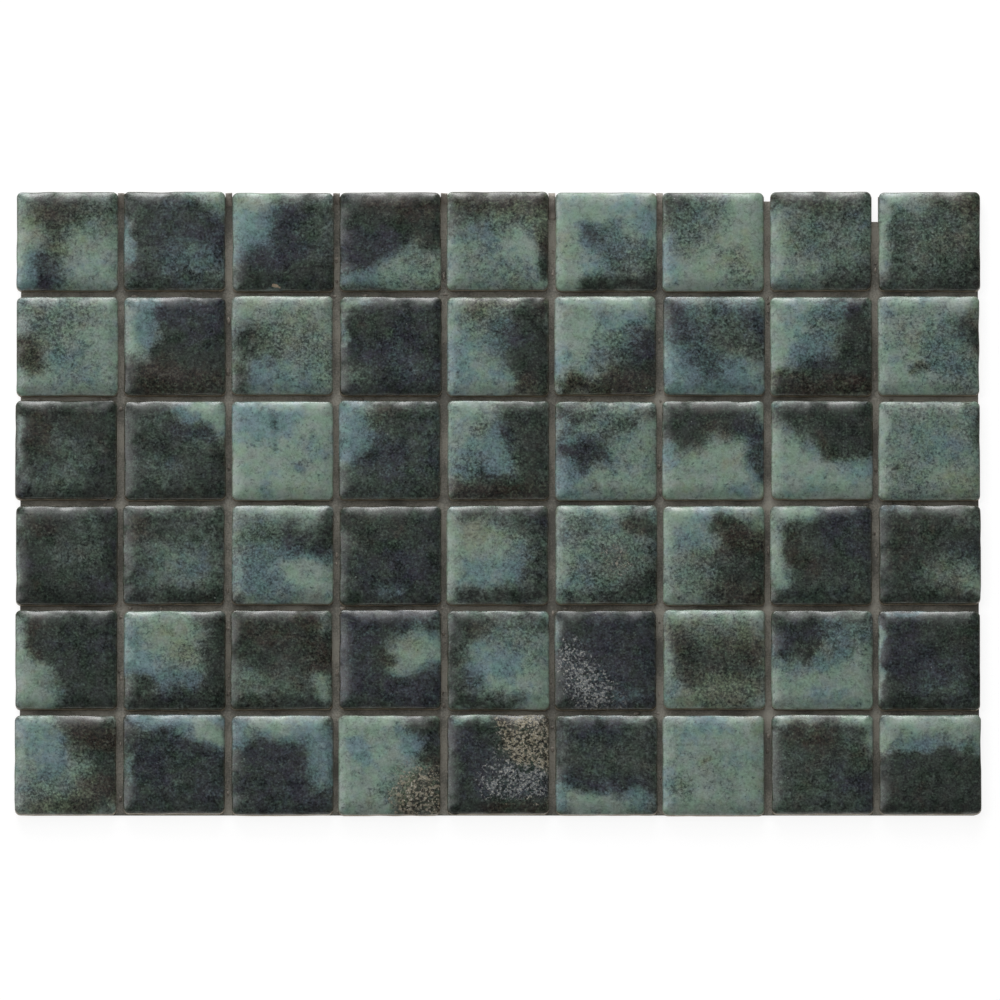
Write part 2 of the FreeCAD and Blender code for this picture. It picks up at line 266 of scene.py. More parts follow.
CLOUDS_AND_PAINTED_SHADING[3, 6] = 0.2, [
    speckle(-.7, .7, -.1, .8, .34), dark(-.8, .75, -.6, .65, .2, .5), dark(0, .3, .5, .6, .15, .65),
    violet(-.75, -.02, -.2, -.05, .25), violet(-.7, -.3, -.45, -.35, .14, .8),
    blue(-.9, -.45, -.8, -.85, .2, .85), speckle(.3, .2, .5, -.1, .4, .3),
    dark(.7, .8, .95, .75, .12, .6), brown(-.26, -.8, -.24, -.8, .05, .5),
]
CLOUDS_AND_PAINTED_SHADING[3, 7] = 0.08, [
    dark(-.75, .75, .4, .72, .3), dark(-.8, .3, -.4, .3, .28), brown(0, .45, .3, .45, .24, .85),
    dark(.4, .75, .7, .65, .18, .6), violet(.65, .4, .92, .2, .24, .9),
    violet(.8, -.1, .95, -.45, .18, .85), blue(-.92, -.1, -.85, -.2, .16, .8),
    pale(.1, -.1, .3, -.2, .3, .7), blue(.5, -.85, .65, -.85, .14, .9),
]
CLOUDS_AND_PAINTED_SHADING[3, 8] = 0.08, [
    dark(-.6, .82, .9, .75, .26), dark(-.1, .45, .9, .4, .36), dark(.3, .05, .95, .1, .26),
    brown(-.1, .3, .1, .05, .12, .85), brown(.1, -.12, .5, -.15, .12, .7),
    dark(-.9, .75, -.7, .62, .16, .85), blue(.5, -.35, .9, -.4, .2, .65),
]
CLOUDS_AND_PAINTED_SHADING[3, 9] = 0.28, [
    speckle(0, .3, .2, -.3, .8, .7), dark(.93, .7, .97, .2, .12, .6), blue(0, .2, .3, -.1, .35, .5),
    olive(.3, -.6, .7, -.6, .3, .6), dark(-.66, -.4, -.63, -.45, .04, .9), pale(-.94, .8, -.94, -.8, .1),
]

# %% Row 4
CLOUDS_AND_PAINTED_SHADING[4, 1] = 0.97, [
    pale(.4, .6, .5, .2, .2, .25), pale(-.1, 0, .2, -.1, .3, .25), brown(-.6, .5, -.3, .5, .25, .5),
    violet(.5, -.7, .9, -.8, .2, .7), violet(-.9, -.2, -.7, -.3, .12, .5),
    pale(-.97, .7, -.97, -.6, .05, .5),
]
CLOUDS_AND_PAINTED_SHADING[4, 2] = 0.76, [
    brown(-.7, .6, -.5, .5, .2, .6), blue(-.1, -.1, .4, -.2, .3, .3), pale(0, -.4, .4, -.5, .4, .2),
    dark(0, -.9, .9, -.86, .14, .9), dark(-.9, -.8, -.7, -.85, .12, .7),
]
CLOUDS_AND_PAINTED_SHADING[4, 3] = 0.22, [
    dark(.2, .35, .95, .3, .24, .88), violet(.1, .1, .8, 0, .16, .85), dark(-.6, .45, -.1, .35, .26, .6),
    violet(-.5, .1, -.1, .1, .2, .5), blue(-.7, -.3, -.1, -.5, .35, .8),
    speckle(-.5, -.2, 0, -.4, .5, .7), pale(.2, -.4, .7, -.5, .22, .85),
    dark(-.96, -.92, -.85, -.95, .1, .85), dark(.92, .7, .96, .3, .14, .8),
]
CLOUDS_AND_PAINTED_SHADING[4, 4] = 0.9, [
    violet(.1, -.1, .2, -.2, .8, .7), brown(-.6, .4, 0, .6, .36, .5), blue(-.1, -.75, .1, -.75, .12, .3),
]
CLOUDS_AND_PAINTED_SHADING[4, 5] = 0.14, [
    dark(-.6, .87, .9, .85, .22, .9), dark(.65, .7, .92, 0, .3, .92), violet(.7, .7, .9, .6, .15, .8),
    olive(-.6, .4, -.2, .2, .3, .6), blue(-.3, -.35, .3, -.2, .3, .85), dark(.65, -.2, .92, -.6, .24, .9),
    dark(-.7, -.87, .9, -.8, .2, .88), speckle(.1, .3, .4, 0, .45, .5), pale(-.1, .15, .1, .05, .2, .6),
]
CLOUDS_AND_PAINTED_SHADING[4, 6] = 0.06, [
    dark(.65, .7, .9, .5, .23, .88), brown(.5, .55, .7, .5, .12, .75), dark(.65, -.2, .9, 0, .28, .75),
    dark(.15, -.72, .9, -.6, .33), dark(-.8, -.87, 0, -.82, .14, .75), speckle(-.3, -.4, .3, 0, .45),
    speckle(-.7, .5, -.3, .5, .3), ochre(.15, -.1, .3, -.2, .2, .22),
]
CLOUDS_AND_PAINTED_SHADING[4, 7] = 0.08, [
    blue(-.3, .8, .2, .86, .16, .95), dark(.1, .65, .5, .55, .2, .9), brown(.5, .3, .95, .1, .32),
    brown(-.15, -.1, .5, 0, .32), dark(0, -.45, .9, -.4, .36), brown(.2, -.8, .9, -.85, .26, .92),
    speckle(-.5, -.1, -.2, -.2, .35, .7), blue(-.5, .4, -.2, .3, .2, .6),
    speckle(-.6, -.6, -.3, -.6, .3, .6),
]
CLOUDS_AND_PAINTED_SHADING[4, 8] = 0.85, [
    pale(-.85, .85, -.2, .95, .18), pale(-.92, .5, -.88, -.1, .14, .9), violet(.3, .8, .9, .7, .26),
    pale(-.86, -.3, -.8, -.5, .16, .9), violet(.3, .2, .7, 0, .4, .6), brown(-.5, 0, -.3, -.2, .25, .6),
]
CLOUDS_AND_PAINTED_SHADING[4, 9] = 0.88, [
    brown(-.3, .3, .3, .2, .5, .6), pale(.85, -.45, .97, -.65, .18, .95), violet(.5, .2, .9, 0, .3, .6),
    olive(.2, -.3, .5, -.5, .25, .4), blue(-.9, .9, -.5, .93, .1, .4), speckle(.3, -.4, .5, -.3, .3, .4),
    pale(.7, .75, .85, .6, .15, .2),
]

# %% Row 5
CLOUDS_AND_PAINTED_SHADING[5, 1] = 0.93, [
    pale(-.94, .8, -.94, -.8, .16, .8), pale(-.7, -.4, -.48, -.85, .3), pale(-.75, 0, -.6, -.2, .14, .6),
    brown(-.6, .6, -.4, .5, .2, .85), brown(-.6, .25, -.5, .1, .16, .75),
    violet(-.3, .35, -.2, 0, .2, .6), violet(.4, .4, .7, .2, .4, .4),
]
CLOUDS_AND_PAINTED_SHADING[5, 2] = 0.18, [
    blue(-.8, .1, -.4, -.3, .32, .9), dark(.72, .85, .92, -.6, .32, .92),
    dark(-.7, -.82, .9, -.8, .28, .9), olive(.1, .6, .25, 0, .25, .6), blue(-.2, -.4, .3, -.4, .2, .7),
    violet(-.1, -.6, .5, -.55, .22, .6), dark(-.92, -.4, -.6, -.6, .18, .7),
    speckle(.3, 0, .5, 0, .35, .7), dark(.88, .7, .92, -.6, .24),
]
CLOUDS_AND_PAINTED_SHADING[5, 3] = 0.9, [
    brown(-.3, .6, .5, .5, .5, .7), pale(.8, -.35, .84, -.75, .15, .75), pale(.86, .9, .9, .6, .1, .4),
    olive(-.6, -.5, .2, -.5, .3, .3), blue(-.8, -.4, -.6, -.5, .2, .3), brown(.65, 0, .7, 0, .2, .6),
]
CLOUDS_AND_PAINTED_SHADING[5, 4] = 0.9, [
    violet(-.7, .6, -.6, -.4, .45, .95), violet(-.2, .75, .7, .8, .24, .9),
    pale(.25, .15, .5, 0, .22, .95), pale(.65, .4, .92, .15, .22, .9), olive(.3, .2, .6, -.1, .2, .5),
    pale(.1, -.2, .4, -.25, .13, .8), violet(0, -.7, .9, -.6, .3, .95),
    brown(-.15, .1, -.1, -.1, .12, .75),
]
CLOUDS_AND_PAINTED_SHADING[5, 5] = 0.13, [
    dark(-.8, .75, .6, .8, .26, .92), dark(-.88, .3, -.88, -.8, .24, .9),
    brown(-.5, .5, -.3, .4, .18, .8), blue(-.3, .2, .1, .05, .26, .8),
    violet(-.5, -.3, -.45, -.45, .15, .7), dark(-.6, -.87, .3, -.9, .17, .85),
    dark(.7, .9, .95, .7, .16, .6), speckle(.2, .6, .6, .3, .38, .6), blue(0, -.2, .3, -.3, .2, .5),
]
CLOUDS_AND_PAINTED_SHADING[5, 6] = 0.97, [
    violet(0, .2, .2, -.2, .8, .9), pale(-.96, .7, -.96, .2, .07, .7), ash(-.7, .0, -.4, -.3, .28, .8),
    ash(-.4, -.5, -.1, -.8, .28, .8), blue(.3, -.75, .6, -.8, .15, .3),
]
CLOUDS_AND_PAINTED_SHADING[5, 7] = 0.05, [
    brown(-.65, .3, .6, .2, .38, .82), brown(-.5, -.3, .5, -.35, .42, .85),
    dark(-.2, .1, .4, -.2, .4, .4), olive(-.6, -.75, .2, -.8, .2, .5), blue(-.92, .1, -.87, -.7, .13, .5),
    speckle(-.3, .6, .4, .6, .3, .5), speckle(0, -.7, .6, -.7, .3),
]
CLOUDS_AND_PAINTED_SHADING[5, 8] = 0.1, [
    dark(-.75, .75, .5, .72, .38), violet(-.6, .35, .1, .4, .38),
    brown(-.25, .12, 0, .15, .2, .85), dark(.4, .85, .75, .75, .2, .75), blue(0, -.05, .4, .2, .14, .7),
    violet(-.9, .3, -.85, .1, .14, .6), blue(0, -.7, .5, -.8, .2, .5), speckle(.3, .4, .7, .5, .3),
]
CLOUDS_AND_PAINTED_SHADING[5, 9] = 0.96, [
    violet(-.3, .3, .1, 0, .7, .85), pale(-.98, .8, -.98, -.8, .06, .85),
    blue(-.7, .95, .1, .95, .07, .6), olive(.2, -.5, .5, -.6, .3, .2), brown(.2, .5, .6, .4, .3, .4),
]

# %% Row 6
CLOUDS_AND_PAINTED_SHADING[6, 1] = 0.12, [
    blue(-.1, .5, .1, 0, .2, .9), blue(-.6, .6, -.3, .2, .3, .5), violet(.15, .85, .6, .85, .24, .95),
    brown(.35, .65, .9, .3, .38), blue(-.3, -.2, 0, -.4, .2, .8), pale(.2, -.05, .35, -.2, .13, .95),
    violet(.7, .0, .95, -.1, .22, .9), brown(.4, -.6, .95, -.5, .36),
    brown(-.5, -.92, .3, -.87, .14, .9), speckle(-.7, -.6, -.3, -.7, .35),
    speckle(0, -.2, .2, -.5, .28, .6),
]
CLOUDS_AND_PAINTED_SHADING[6, 2] = 0.85, [
    violet(-.3, -.1, .4, -.2, .7, .6), blue(-.6, .9, .9, .9, .17, .95), pale(.6, .65, .92, .5, .2, .95),
    blue(.2, .6, .4, .52, .15, .65), violet(.1, .4, .8, .2, .14, .85), pale(-.95, 0, -.92, -.3, .08, .4),
]
CLOUDS_AND_PAINTED_SHADING[6, 3] = 0.8, [
    violet(-.3, -.2, .2, -.4, .6, .7), pale(-.5, .82, .5, .8, .24), blue(-.9, .8, -.83, .5, .17, .9),
    blue(.5, .7, .8, .4, .22, .9), blue(.72, .1, .85, -.3, .2, .92), violet(-.5, .25, .3, .1, .2, .85),
    violet(.7, -.7, .9, -.8, .15, .65),
]
CLOUDS_AND_PAINTED_SHADING[6, 4] = 0.07, [
    blue(-.65, .4, -.5, .15, .14, .95), violet(.6, .65, .95, .35, .3, .96),
    dark(.5, .85, .9, .82, .2), brown(.88, .1, .96, -.2, .2, .9), brown(.4, -.75, .9, -.8, .26),
    ochre(.5, -.4, .9, -.5, .28, .7), ochre(.3, -.78, .85, -.85, .2, .75), speckle(0, -.6, .2, -.5, .2),
    blue(.3, .5, .4, .3, .18, .8),
]
CLOUDS_AND_PAINTED_SHADING[6, 5] = 0.9, [
    violet(-.5, .2, -.2, -.2, .5, .8), ochre(.35, .75, .9, .75, .28, .95),
    ochre(.45, .2, .9, .1, .32, .97), ash(0, -.35, .85, -.4, .26, .95),
    brown(-.3, -.9, .9, -.92, .13, .8), pale(-.9, .93, -.2, .95, .09, .7),
]
CLOUDS_AND_PAINTED_SHADING[6, 6] = 0.82, [
    pale(-.5, -.78, .4, -.82, .26), blue(.5, -.7, .7, -.8, .15, .75),
    blue(-.94, -.5, -.92, -.8, .14, .95), violet(-.8, -.25, -.2, -.45, .14, .85),
    violet(.3, -.42, .8, -.45, .18, .85), violet(-.6, .7, .1, .7, .25, .6),
    blue(-.8, .95, .8, .95, .06, .4),
]
CLOUDS_AND_PAINTED_SHADING[6, 7] = 0.1, [
    blue(-.3, .82, .1, .82, .16, .7), blue(-.55, .55, -.5, .45, .12, .8),
    brown(-.15, .15, -.1, .15, .05, .6), blue(-.92, -.2, -.92, -.6, .16, .7),
    speckle(-.7, -.45, -.6, -.5, .15, .9), speckle(0, 0, .2, -.5, .25, .3),
]
CLOUDS_AND_PAINTED_SHADING[6, 8] = 0.78, [
    pale(-.85, .9, -.25, .95, .13, .95), pale(.5, .95, .9, .9, .12, .95),
    pale(.95, .6, .96, .2, .12, .95), brown(-.4, .6, 0, .4, .3, .7), violet(.5, -.4, .9, -.5, .28, .75),
    brown(.8, .2, .9, .1, .15, .5),
]
CLOUDS_AND_PAINTED_SHADING[6, 9] = 0.94, [
    pale(-.75, .8, .9, .8, .28), pale(-.88, .5, -.92, .4, .14, .85), blue(-.7, .32, .2, .37, .1, .75),
    blue(.4, .42, .6, .37, .1, .45), pale(.93, .5, .96, .3, .11, .75), violet(-.7, .1, -.5, 0, .15, .5),
]
print(f"{len(CLOUDS_AND_PAINTED_SHADING)} tiles painted with {sum(len(strokes) for _, strokes in CLOUDS_AND_PAINTED_SHADING.values())} strokes")

# %% Lay the strokes of one tile at a point of its face
FADE = 2.2  # a stroke ends this many times its width away from its line
GROUND_TONE, GROUND_SPECKS = 0.5, 0.35


def ease(value):
    """0 below 0, 1 above 1, and a soft S between."""
    value = min(max(value, 0.0), 1.0)
    return value * value * (3 - 2 * value)


def cover(stroke, point):
    """How much a stroke covers a point: its full strength on its line, fading softly outwards."""
    _, start, end, width, strength = stroke
    along = end - start
    share = 0.0
    if along.length_squared > 0:
        share = min(max((point - start).dot(along) / along.length_squared, 0.0), 1.0)
    away = (point - start - share * along).length / width
    return strength * ease((FADE - away) / FADE)


def glaze_at(point, ground, strokes):
    """Darkness, tone, specks and crust at a point, from glaze and painted shading, and how bare the clay
    is.
    """
    mix = [ground, GROUND_TONE, GROUND_SPECKS, 0.0]
    clay = 0.0
    for stroke in strokes:
        share = cover(stroke, point)
        if stroke[0] == "bare":
            clay = max(clay, share)
        for channel, target in enumerate(GLAZES[stroke[0]]):
            if target is not None and share > 0:
                mix[channel] += (target - mix[channel]) * share
    return mix, clay

# %% [markdown]
# ## The tile as a shape
#
# A tile is pressed from clay dust in a steel die, so its walls are straight and its corners
# rounded. Fired glaze then pulls itself into a cushion: nearly flat in the middle, sinking over
# the last millimetres, thin and wavy along the edge. It ends about half-way up the tile, and the
# foot below is bare clay.
#
# It could be a box with a bevel, but a bevel is even all the way round. Here a grid is bent
# into the cushion instead: its lines crowd towards the edge, where the shape turns fastest,
# and every vertex finds its own height from its distance to the edge.

# %% Bend a square grid into a rounded square
SIDE_ROOM = 0.03 * MM  # inside the CAD tile's walls
HALF = TILE_SIDE / 2 - SIDE_ROOM
CORNER_RADIUS = 2.8 * MM
GRID_CELLS = 48
CROWDING = 0.68


def crowd(value):
    """Move a grid line from its even place towards the edge, where lines are needed."""
    return value * (1 + CROWDING - CROWDING * abs(value))


def rounded(x, y):
    """A point of the square from -1 to 1, moved so that the square's corners are round."""
    ring = max(abs(x), abs(y))
    half = ring * HALF
    radius = CORNER_RADIUS * ring ** 2
    point = Vector((x * HALF, y * HALF))
    sides = [half - abs(point.x), half - abs(point.y)]
    if ring == 0 or max(sides) >= radius:
        return point
    nearer = 0 if sides[0] > sides[1] else 1
    angle = (1 - sides[nearer] / radius) * math.pi / 4
    bent = [half - radius + radius * math.cos(angle)] * 2
    bent[nearer] = half - radius + radius * math.sin(angle)
    return Vector((math.copysign(bent[0], point.x), math.copysign(bent[1], point.y)))


# %% The height of the glaze
ARRIS_RADIUS = 0.22 * MM
CUSHION_DROP = 2.0 * MM
CUSHION_WIDTH = 8.0 * MM
CUSHION_POWER = 2.2
CROWN_RISE = 0.2 * MM
WAVE_RISE = 0.06 * MM
LONG_WAVE, SHORT_WAVE = 14 * MM, 5 * MM


def drop(distance):
    """How far the glaze lies under the tile's full thickness, this far in from the edge."""
    inward = min(distance / ARRIS_RADIUS, 1.0)
    arris = ARRIS_RADIUS * (1 - math.sqrt(1 - (1 - inward) ** 2))
    cushion = CUSHION_DROP * (1 - min(distance / CUSHION_WIDTH, 1.0)) ** CUSHION_POWER
    return arris + cushion


def swell(x, y):
    """Low waves across a fired face, a few long and some short, around 0."""
    long_wave = noise.noise(Vector((x, y, 0)) / LONG_WAVE)
    short_wave = noise.noise(Vector((x, y, SHORT_WAVE)) / SHORT_WAVE)
    return long_wave + 0.5 * short_wave


print("drop at 0, 1, 3 and 6 mm in:", [round(drop(d * MM) / MM, 2) for d in (0, 1, 3, 6)], "mm")

# %% Turn a finished bmesh into an object
def finish_mesh(mesh_maker, name):
    """An object at the origin whose place is in its mesh."""
    mesh = bpy.data.meshes.new(name)
    mesh_maker.to_mesh(mesh)
    mesh_maker.free()
    piece = bpy.data.objects.new(name, mesh)
    bpy.context.scene.collection.objects.link(piece)
    return piece


# %% The face: a flat grid bent into the cushion, with its glaze and painted shading on the vertices
RIM_WIDTH = 3.2 * MM
EDGE_WAVE = 0.2 * MM
EDGE_WAVELENGTH = 9 * MM
SAG_SPREAD = 0.3
TOP_ROOM = 0.06 * MM  # under the CAD tile's top, for the waves
CLOUD_WARP = 0.16


def shape_face(tile_maker, kiln_place, ground, strokes):
    """Bend the grid and lay on each vertex what the glaze and its painted shading are like there."""
    clouds_and_painted_shading = tile_maker.verts.layers.float_color["clouds_and_painted_shading"]
    edges = tile_maker.verts.layers.float_color["edges"]
    for vertex in tile_maker.verts:
        u, v = crowd(vertex.co.x), crowd(vertex.co.y)
        flat = rounded(u, v)
        distance = (1 - max(abs(u), abs(v))) * HALF
        around = Vector((flat.x, flat.y, 0)) / EDGE_WAVELENGTH + kiln_place * 100
        # The glaze draws in from the edge in places, and never bulges out past it.
        wobble = EDGE_WAVE * max(0.1 + noise.noise(around * 0.9), 0) / HALF
        flat *= 1 - wobble * 2 * max(abs(u), abs(v)) ** 4
        waves = WAVE_RISE * swell(flat.x + kiln_place.x, flat.y + kiln_place.y)
        crown = CROWN_RISE * (u * u + v * v) / 2
        sag = 1 + SAG_SPREAD * noise.noise(around * 0.9 + Vector((0, 0, 7)))
        height = TILE_THICKNESS - TOP_ROOM - crown + waves - drop(distance) * sag
        vertex.co = flat.x, flat.y, height
        shifts = Vector((3, 0, 0)), Vector((0, 3, 0))
        pull = Vector([noise.noise(around + shift) for shift in shifts])
        mix, clay = glaze_at(Vector((u, v)) + pull * CLOUD_WARP, ground, strokes)
        vertex[clouds_and_painted_shading] = mix  # darkness, tone, specks, crust
        vertex[edges] = ease(1 - distance / RIM_WIDTH), 0.0, clay, 1.0  # rim, foot, chip


# %% The walls: down to the glaze line, to the foot's bevel, and in to the flat foot
GLAZE_LINE = 3.2 * MM
FOOT_BEVEL = 0.4 * MM


def draw_walls_down(tile_maker):
    """Extrude the face's outline three times and close the foot."""
    edges = tile_maker.verts.layers.float_color["edges"]
    outline = [edge for edge in tile_maker.edges if edge.is_boundary]
    for height, inset in ((GLAZE_LINE, 0.0), (FOOT_BEVEL, 0.0), (0.0, FOOT_BEVEL)):
        grown = bmesh.ops.extrude_edge_only(tile_maker, edges=outline)["geom"]
        outline = [item for item in grown if isinstance(item, bmesh.types.BMEdge)]
        for vertex in {vertex for edge in outline for vertex in edge.verts}:
            vertex.co.x *= 1 - inset / HALF
            vertex.co.y *= 1 - inset / HALF
            vertex.co.z = height
            # The second channel rises towards the foot: it marks bare clay, and how much painted light
            # the foot's clay gets.
            vertex[edges] = 1.0, ease(1.2 - height / GLAZE_LINE * 0.7), vertex[edges][2], 1.0
    bmesh.ops.holes_fill(tile_maker, edges=outline)


# %% Make one tile
def build_tile(row, column):
    """A finished tile in its place, with its glaze, painted shading, edges and kiln place kept on its
    vertices.
    """
    node_name = f"tile_r{row}_c{column}"
    middle, twist, _, _ = how_it_lies(node_name)
    ground, strokes = CLOUDS_AND_PAINTED_SHADING[row, column]
    # Each tile takes its noise from another place, so no two are alike.
    kiln_place = Vector((0.31 * column, 0.37 * row, 0.11 * (row + column)))

    tile_maker = bmesh.new()
    # The clouds layer holds the glaze clouds and the painted highlights and shade along the edges.
    tile_maker.verts.layers.float_color.new("clouds_and_painted_shading")
    tile_maker.verts.layers.float_color.new("edges")
    tile_maker.verts.layers.float_vector.new("place")
    bmesh.ops.create_grid(tile_maker, x_segments=GRID_CELLS, y_segments=GRID_CELLS, size=1.0)
    shape_face(tile_maker, kiln_place, ground, strokes)
    draw_walls_down(tile_maker)

    place = tile_maker.verts.layers.float_vector["place"]
    for vertex in tile_maker.verts:
        vertex[place] = vertex.co + kiln_place
    turn = Matrix.Rotation(twist, 4, "Z")
    bmesh.ops.transform(tile_maker, matrix=Matrix.Translation(middle) @ turn, verts=tile_maker.verts)
    bmesh.ops.recalc_face_normals(tile_maker, faces=tile_maker.faces)
    for face in tile_maker.faces:
        face.smooth = True

    tile = finish_mesh(tile_maker, f"glazed_tile_r{row}_c{column}")
    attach(tile, "root")
    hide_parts(node_name)
    return tile


# %% Lay all the tiles
tiles = [build_tile(row, column) for row in range(1, ROWS + 1) for column in range(1, COLUMNS + 1)]
print(len(tiles), "tiles,", sum(len(tile.data.polygons) for tile in tiles), "faces")

# %% [markdown]
# ## The backing: film, threads and spots of adhesive
#
# The tiles are set face down in a jig, and a mesh of glass thread is rolled onto their backs
# with taupe adhesive, which dries to a thin film. In the joints only the film shows. Seen from
# below, the threads stand out of it.
#
# The film is a copy of the CAD backing, whose outline and nicks are right, lifted off the
# ground by the depth of the threads. Its lower edge is drawn out a little, because no ground
# shows between the tiles there. The threads go over and under each other in a real mesh, so
# each is a strip that is pushed up and down where it crosses the others.

# %% The film, from a copy of the CAD backing
FILM_UNDERSIDE = 0.24 * MM
FILM_REACH = 1.2 * MM
LOWER_BAND = 0.5 * MM
SAME_PLACE = 0.001 * MM
FLAT_ANGLE = math.radians(1)
film_low, film_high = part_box("mesh_backing")
film_maker = bmesh.new()
film_maker.from_mesh(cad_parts["mesh_backing"].data)
bmesh.ops.remove_doubles(film_maker, verts=film_maker.verts, dist=SAME_PLACE)
bmesh.ops.dissolve_limit(
    film_maker, angle_limit=FLAT_ANGLE, verts=film_maker.verts, edges=film_maker.edges
)
for vertex in film_maker.verts:
    vertex.co.z = max(vertex.co.z, FILM_UNDERSIDE)
    if vertex.co.y < film_low.y + LOWER_BAND:
        vertex.co.y -= FILM_REACH
film = finish_mesh(film_maker, "adhesive_film")
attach(film, "root")
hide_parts("mesh_backing")
print("film:", len(film.data.polygons), "faces,", [round(v / MM, 1) for v in film_high - film_low], "mm")

# %% Weave the threads
THREAD_PITCH = 5.0 * MM
THREAD_WIDTH = 0.85 * MM
THREAD_THICKNESS = 0.1 * MM
THREAD_LEVEL = 0.19 * MM
WEAVE_RISE = 0.035 * MM
THREAD_MARGIN = 0.7 * MM
THREAD_WANDER = 0.25 * MM
NICKS = [(3.5 * PITCH, 15 * MM), (2.5 * PITCH, 5 * MM)]  # place along the top edge, and depth
NICK_CLEARANCE = 2.2 * MM


def in_nick(x, y):
    """True where the CAD backing is nicked, so nothing may cross."""
    return any(abs(x - nick_x) < NICK_CLEARANCE and y > film_high.y - deep for nick_x, deep in NICKS)


def weave(name, turned):
    """All the threads of one direction: strips with two steps for each thread that they cross."""
    along, across = (1, 0) if turned else (0, 1)
    middle = (film_low + film_high) / 2
    reach = [film_high[axis] - film_low[axis] - 2 * THREAD_MARGIN for axis in (along, across)]
    crossings = int(reach[0] // THREAD_PITCH)
    threads = int(reach[1] // THREAD_PITCH)
    maker = bmesh.new()
    for index in range(threads):
        strip = bmesh.ops.create_grid(maker, x_segments=crossings * 2, y_segments=1, size=0.5)["verts"]
        sideways = (index - (threads - 1) / 2) * THREAD_PITCH
        for vertex in strip:
            step = round((vertex.co.x + 0.5) * crossings * 2)
            up = 0 if step % 2 == 0 else (1 if (step // 2 + index + turned) % 2 else -1)
            wander = THREAD_WANDER * noise.noise(Vector((step * 0.11, index * 3.7, turned * 9.0)))
            spot = Vector((0, 0, THREAD_LEVEL + up * WEAVE_RISE))
            spot[along] = middle[along] + vertex.co.x * reach[0]
            spot[across] = middle[across] + sideways + vertex.co.y * THREAD_WIDTH + wander
            vertex.co = spot
    crossed = [face for face in maker.faces if in_nick(*face.calc_center_median().xy)]
    bmesh.ops.delete(maker, geom=crossed, context="FACES")
    bmesh.ops.recalc_face_normals(maker, faces=maker.faces)
    bmesh.ops.solidify(maker, geom=maker.faces, thickness=THREAD_THICKNESS)
    threads_piece = finish_mesh(maker, name)
    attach(threads_piece, "root")
    return threads_piece


weft = weave("threads_across", 0)
warp = weave("threads_along", 1)
print("threads:", len(weft.data.polygons) + len(warp.data.polygons), "faces")

# %% Spots of adhesive that rose into the joints
SPOT_COUNT = 110
SPOT_MARGIN = 6 * MM
COAT_MARGIN = 22 * MM  # clear of the second coat, along the top edge
SPOT_ROOT = 0.2 * MM
chance = random.Random(54)
spot_maker = bmesh.new()
for index in range(SPOT_COUNT):
    upright = chance.random() < 0.6
    joint = chance.randrange(1, COLUMNS if upright else ROWS)
    if upright:
        spot_x = (joint - COLUMNS / 2) * PITCH
        spot_y = chance.uniform(film_low.y + SPOT_MARGIN, film_high.y - COAT_MARGIN)
    else:
        spot_x = chance.uniform(film_low.x + SPOT_MARGIN, film_high.x - SPOT_MARGIN)
        spot_y = (joint - ROWS / 2) * PITCH
    stray = Vector((chance.uniform(-0.5, 0.5), chance.uniform(-0.5, 0.5), 0)) * MM
    size = chance.uniform(0.4, 0.9) * MM
    long_size = size * chance.uniform(1.0, 2.4)
    footprint = (size, long_size) if upright else (long_size, size)
    shape = Matrix.Diagonal((*footprint, size * 0.7, 1))
    lie = Matrix.Translation(Vector((spot_x, spot_y, film_high.z)) + stray)
    ball = bmesh.ops.create_icosphere(spot_maker, subdivisions=2, radius=1.0)["verts"]
    for vertex in ball:
        vertex.co *= 1 + 0.3 * noise.noise(vertex.co * 1.3 + Vector((index * 5.1, 0, 0)))
    bmesh.ops.transform(spot_maker, matrix=lie @ shape, verts=ball)
    for vertex in ball:
        vertex.co.z = max(vertex.co.z, film_high.z - SPOT_ROOT)
for face in spot_maker.faces:
    face.smooth = True
spots = finish_mesh(spot_maker, "adhesive_spots")
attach(spots, "root")
print(SPOT_COUNT, "spots of adhesive")

# %% The second coat, which fills the joints' ends along the top edge
COAT_LENGTHS = {1: 7, 2: 6, 3: 5, 4: 5, 5: 13, 6: 13}  # joint from the left: millimetres
COAT_WIDTH = 3.2 * MM
COAT_TOP = 4.2 * MM
COAT_END = film_high.z - 0.05 * MM
COAT_ROOT = film_high.z - 0.1 * MM
sheet_edge = cad_box[1].y - 0.6 * MM
coat_maker = bmesh.new()
for joint, length in COAT_LENGTHS.items():
    bar = bmesh.ops.create_cube(coat_maker, size=1.0)["verts"]
    shape = Matrix.Diagonal((COAT_WIDTH, length * MM, 1, 1))
    centre = Vector(((joint - COLUMNS / 2) * PITCH, sheet_edge - length / 2 * MM, 0.5))
    bmesh.ops.transform(coat_maker, matrix=Matrix.Translation(centre) @ shape, verts=bar)
bmesh.ops.subdivide_edges(coat_maker, edges=coat_maker.edges, cuts=6, use_grid_fill=True)
for vertex in coat_maker.verts:
    joint = round(vertex.co.x / PITCH + COLUMNS / 2)
    inward = (sheet_edge - vertex.co.y) / (COAT_LENGTHS[joint] * MM)
    top = COAT_TOP + (COAT_END - COAT_TOP) * ease(inward)
    uneven = vertex.co.z * (1 - inward) * 0.5 * MM * noise.noise(vertex.co / (2.6 * MM))
    vertex.co.z = COAT_ROOT + vertex.co.z * (top - COAT_ROOT) + uneven
    ragged = abs(noise.noise(vertex.co / (1.9 * MM) + Vector((0, 4, 0))))
    vertex.co.y -= (1 - inward) * 0.4 * MM * ragged
for face in coat_maker.faces:
    face.smooth = True
second_coat = finish_mesh(coat_maker, "second_coat")
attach(second_coat, "root")
print("second coat:", len(second_coat.data.polygons), "faces")

# %% [markdown]
# ## Colours and the tools for materials
#
# Colours are written as a painter reads them, from 0 to 255, and turned into the light values
# that Blender counts in. The helpers below add a node and connect it in one line.

